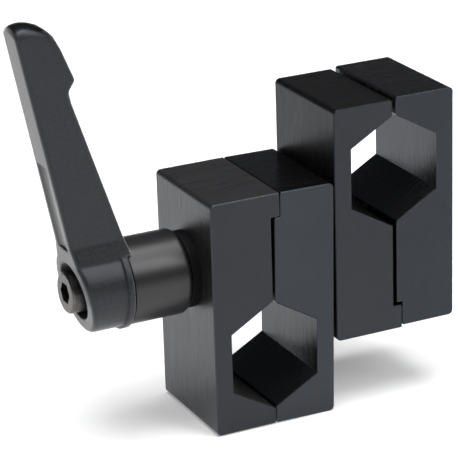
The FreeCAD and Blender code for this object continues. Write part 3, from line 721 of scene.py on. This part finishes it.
def powder_coat():
    """The lever's fine-textured black coating, which flows softly over the casting's edges."""
    material, tree, surface, place = new_finish("lever powder coat", ior=1.4)
    surface.inputs["Specular Tint"].default_value = COAT_TINT
    surface.inputs["Sheen Roughness"].default_value = COAT_SHEEN_ROUGHNESS
    here = place.outputs["Object"]
    # Painted shade on the tip's up-facing top: coloured near black, without sheen and a little
    # smoother
    shaded_top = shaded_tip_top_mask(tree, place)
    tree.links.new(between(tree, shaded_top, 1.0, 0.0), surface.inputs["Sheen Weight"])
    grain = full_grain(tree, here, COAT_GRAINS)
    cloud = soft_grain(tree, here, COAT_CLOUDS)
    colour = between(tree, grain, COAT_DARK, COAT_LIGHT)
    # Edges turn lighter: partly worn coat, partly a painted highlight
    edges = effect(tree, edge_wear_and_highlight, {"Width": COAT_SOFT_EDGE})
    wear_and_highlight = calculate(tree, "MULTIPLY", edges["Edge"], calculate(tree, "MULTIPLY", cloud, 0.3))
    colour = between(tree, wear_and_highlight, colour, COAT_WORN_AND_HIGHLIT)
    colour = between(tree, shaded_top, colour, COAT_TIP_TOP_SHADE)
    tree.links.new(colour, surface.inputs["Base Color"])
    coated = between(tree, grain, *COAT_ROUGHNESS)
    roughness = between(tree, shaded_top, coated, COAT_TIP_TOP_ROUGHNESS)
    tree.links.new(roughness, surface.inputs["Roughness"])
    raise_surface(tree, surface, grain, COAT_RELIEF, edges["Normal"])
    return material


def shaded_counterbore():
    """The inside of the lever's counterbore, painted near black and dull as the shade deep in the
    hole.
    """
    material, tree, surface, place = new_finish("shaded counterbore")
    surface.inputs["Specular IOR Level"].default_value = BORE_MIRROR
    grain = full_grain(tree, place.outputs["Object"], BORE_GRAINS)
    tree.links.new(between(tree, grain, BORE_SHADE_DARK, BORE_SHADE_LIGHT), surface.inputs["Base Color"])
    tree.links.new(between(tree, grain, *BORE_ROUGHNESS), surface.inputs["Roughness"])
    raise_surface(tree, surface, grain, BORE_RELIEF)
    return material


def height_on_lever(point):
    """How far a point lies above the screw's axis."""
    return point.z - SCREW_HEIGHT


def depth_in_lever(point):
    """How far a point lies in from the plane of the lever's outer face."""
    reach = point.x + LEVER_OUTER_REACH + LEVER_OUTER_LEAN * height_on_lever(point)
    return reach / math.hypot(1, LEVER_OUTER_LEAN)


def cut_across(casting, faces, place, normal):
    """Divide some of the casting's faces along a plane."""
    parts = [part for face in faces for part in (face, *face.edges, *face.verts)]
    bmesh.ops.bisect_plane(
        casting, geom=list(dict.fromkeys(parts)), dist=MERGE_DISTANCE,
        plane_co=place, plane_no=normal,
    )


def slice_tip(casting):
    """Cut the end of the arm into small faces, so that it can be rounded."""
    start = SCREW_HEIGHT + TIP_START
    cut_across(casting, casting.faces[:], (0, 0, start), (0, 0, 1))
    low = Vector((TIP_OUTER_END, -TIP_HALF_WIDTH, start))
    high = Vector((TIP_INNER_END, TIP_HALF_WIDTH, SCREW_HEIGHT + FLAT_TOP))
    for axis in range(3):
        normal = Vector((0, 0, 0))
        normal[axis] = 1
        for step in range(1, math.ceil((high[axis] - low[axis]) / TIP_SLICE)):
            tip = [
                face for face in casting.faces
                if min(vertex.co.z for vertex in face.verts) > start - ON_PLANE_DISTANCE
            ]
            cut_across(casting, tip, normal * (low[axis] + step * TIP_SLICE), normal)


def crown_drop(across, radius):
    """How far a crowned top lies below its middle line at a distance to one side of it."""
    return radius - math.sqrt(radius ** 2 - across ** 2)


def dome_height(depth):
    """The height of the dome's middle line at a depth in from the outer face."""
    if depth < DOME_PEAK_DEPTH:
        share = (DOME_PEAK_DEPTH - max(depth, 0.0)) / DOME_PEAK_DEPTH
        return DOME_TOP - DOME_OUTER_FALL * share ** DOME_OUTER_CURVE
    share = (depth - DOME_PEAK_DEPTH) / (DOME_INNER_DEPTH - DOME_PEAK_DEPTH)
    return DOME_TOP - DOME_INNER_FALL * min(share, DOME_INNER_LIMIT) ** DOME_INNER_CURVE


def round_tip(casting):
    """Turn the flat, sloped end of the arm into a dome with rounded long edges."""
    for vertex in casting.verts:
        above_start = height_on_lever(vertex.co) - TIP_START
        if above_start <= 0:
            continue
        across = min(abs(vertex.co.y), TIP_HALF_WIDTH)
        depth = depth_in_lever(vertex.co)
        slope = FLAT_SLOPE * max(0.0, depth - FLAT_SLOPE_DEPTH)
        flat = FLAT_TOP - crown_drop(across, FLAT_CROWN_RADIUS) - slope
        dome = dome_height(depth) - crown_drop(across, DOME_CROWN_RADIUS)
        vertex.co += ALONG_ARM * above_start * ((dome - TIP_START) / (flat - TIP_START) - 1)
        inward = DOME_EDGE_RADIUS - (TIP_HALF_WIDTH - across)
        below = DOME_EDGE_RADIUS - (dome - height_on_lever(vertex.co))
        reach = math.hypot(inward, below)
        if inward > 0 and below > 0 and reach > DOME_EDGE_RADIUS:
            shrink = 1 - DOME_EDGE_RADIUS / reach
            vertex.co.y -= math.copysign(inward * shrink, vertex.co.y)
            vertex.co -= ALONG_ARM * below * shrink


def in_panel(point, depth):
    """Whether a point lies within the sunk panel's outline, at a depth in from the outer face."""
    lowest = HOLLOW_LOW_END - HOLLOW_END_MARGIN
    highest = HOLLOW_HIGH_END + HOLLOW_END_MARGIN
    beside = abs(point.y) < HOLLOW_HALF_WIDTH + HOLLOW_SIDE_MARGIN
    along = lowest < height_on_lever(point) < highest
    return beside and along and abs(depth_in_lever(point) - depth) < HOLLOW_DEPTH_MARGIN


def hollow_arm(casting):
    """Lengthen the sunk panel of the arm a little, and give it a hollow floor."""
    for step in range(1, round(2 * HOLLOW_HALF_WIDTH / HOLLOW_SLICE)):
        floor = [
            face for face in casting.faces
            if all(in_panel(vertex.co, HOLLOW_SOLID_DEPTH) for vertex in face.verts)
        ]
        cut_across(casting, floor, (0, step * HOLLOW_SLICE - HOLLOW_HALF_WIDTH, 0), (0, 1, 0))
    for vertex in casting.verts:
        on_floor = in_panel(vertex.co, HOLLOW_SOLID_DEPTH)
        on_rim = in_panel(vertex.co, 0.0)
        from_low_end = abs(height_on_lever(vertex.co) - HOLLOW_LOW_END)
        if (on_floor or on_rim) and from_low_end < HOLLOW_LOW_END_MARGIN:
            vertex.co -= ALONG_ARM * HOLLOW_LENGTHENED
        if on_floor:
            across = min(1.0, abs(vertex.co.y) / HOLLOW_HALF_WIDTH)
            depth = HOLLOW_RIM_DEPTH + (HOLLOW_DEPTH - HOLLOW_RIM_DEPTH) * (1 - across ** 2)
            vertex.co += OUTWARDS * (HOLLOW_SOLID_DEPTH - depth)


def in_counterbore(point):
    """Whether a point lies on the wall or floor of the hole for the retaining screw's head."""
    radius = math.hypot(point.y, height_on_lever(point))
    sunk = depth_in_lever(point) > COUNTERBORE_START
    return sunk and radius < COUNTERBORE_RADIUS + COUNTERBORE_MARGIN


def cast_lever():
    """The lever's casting, with the domed tip and the hollow arm of the real one."""
    casting = copy_of("lever_handle")
    slice_tip(casting)
    round_tip(casting)
    hollow_arm(casting)
    for face in casting.faces:
        # Faces inside the counterbore get the painted shade
        face.material_index = 1 if in_counterbore(face.calc_center_median()) else 0
    lever = piece_from(casting, "lever_casting")
    dress_copy(lever, [powder_coat(), shaded_counterbore()], LEVER_SHARP_ANGLE)
    even = lever.modifiers.new("even flats", "WEIGHTED_NORMAL")
    even.keep_sharp = True
    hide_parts("lever_handle")
    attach(lever, "handle")


# The threaded stud


# M8 with the standard pitch
STUD_RADIUS = 4.0 * MM
THREAD_PITCH = 1.25 * MM
THREAD_DEPTH = 0.61 * MM
THREAD_STEPS = 36
THREAD_MERGE_DISTANCE = 0.004 * MM
STUD_CHAMFER = 0.8 * MM

# Along one pitch: where the root ends, and where the crest starts and ends
ROOT_END = 0.11
CREST_START = 0.45
CREST_END = 0.66

# Turns that the spun thread overshoots each end of the stud by, before it is cut to length
SPARE_TURNS = 2


def trim_stud(thread, end, outwards):
    """Cut the thread off square at one end of the stud, close it and chamfer it."""
    cut = bmesh.ops.bisect_plane(
        thread, geom=thread.verts[:] + thread.edges[:] + thread.faces[:], dist=MERGE_DISTANCE,
        plane_co=(end, 0, SCREW_HEIGHT), plane_no=(outwards, 0, 0), clear_outer=True,
    )
    rim = [item for item in cut["geom_cut"] if isinstance(item, bmesh.types.BMEdge)]
    bmesh.ops.holes_fill(thread, edges=rim, sides=0)
    for vertex in thread.verts:
        inside = abs(end - vertex.co.x)
        limit = STUD_RADIUS - max(0.0, STUD_CHAMFER - inside)
        across = Vector((0, vertex.co.y, vertex.co.z - SCREW_HEIGHT))
        if across.length > limit:
            across = across.normalized() * limit
            vertex.co = (vertex.co.x, across.y, SCREW_HEIGHT + across.z)


def thread_stud():
    """The stud with a real thread: one pitch of its profile, spun along the screw."""
    low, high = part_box("threaded_stud")
    root = STUD_RADIUS - THREAD_DEPTH
    turns = math.ceil((high.x - low.x) / THREAD_PITCH) + 2 * SPARE_TURNS
    start = low.x - SPARE_TURNS * THREAD_PITCH
    profile = [
        (0.0, root), (ROOT_END, root), (CREST_START, STUD_RADIUS), (CREST_END, STUD_RADIUS),
        (1.0, root),
    ]
    thread = bmesh.new()
    points = [
        thread.verts.new((start + share * THREAD_PITCH, 0, SCREW_HEIGHT + radius))
        for share, radius in profile
    ]
    edges = [thread.edges.new(pair) for pair in zip(points, points[1:])]
    bmesh.ops.spin(
        thread, geom=points + edges, cent=(0, 0, SCREW_HEIGHT), axis=(1, 0, 0),
        dvec=(THREAD_PITCH / THREAD_STEPS, 0, 0), angle=FULL_TURN * turns,
        steps=THREAD_STEPS * turns,
    )
    bmesh.ops.remove_doubles(thread, verts=thread.verts, dist=THREAD_MERGE_DISTANCE)
    trim_stud(thread, low.x, -1)
    trim_stud(thread, high.x, 1)
    bmesh.ops.recalc_face_normals(thread, faces=thread.faces)
    stud = piece_from(thread, "stud_thread")
    stud.data.materials.append(turned_steel(
        "blackened thread", dark=(0.02, 0.02, 0.02), light=(0.05, 0.05, 0.05),
        roughness=(0.3, 0.42), metallic=0.6,
    ))
    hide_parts("threaded_stud")
    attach(stud, "screw")


# The return spring


SPRING_SHARP_ANGLE = 40


def seat_spring():
    """The return spring, copied from its solid to ride with the screw. The handle presses it
    together against the screw's head as it lifts, but here it keeps its shape.
    """
    spring = piece_from(copy_of("lever_spring"), "return_spring")
    wire = turned_steel(
        "spring wire", dark=(0.5, 0.5, 0.5), light=(0.62, 0.62, 0.63),
        roughness=(0.18, 0.28), metallic=1.0,
    )
    dress_copy(spring, [wire], SPRING_SHARP_ANGLE)
    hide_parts("lever_spring")
    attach(spring, "screw")
    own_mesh(spring)


bpy.context.scene.view_settings.view_transform = "Standard"
aim_camera()
lay_floor()
light_studio()
finish_solids()
cast_lever()
thread_stud()
seat_spring()
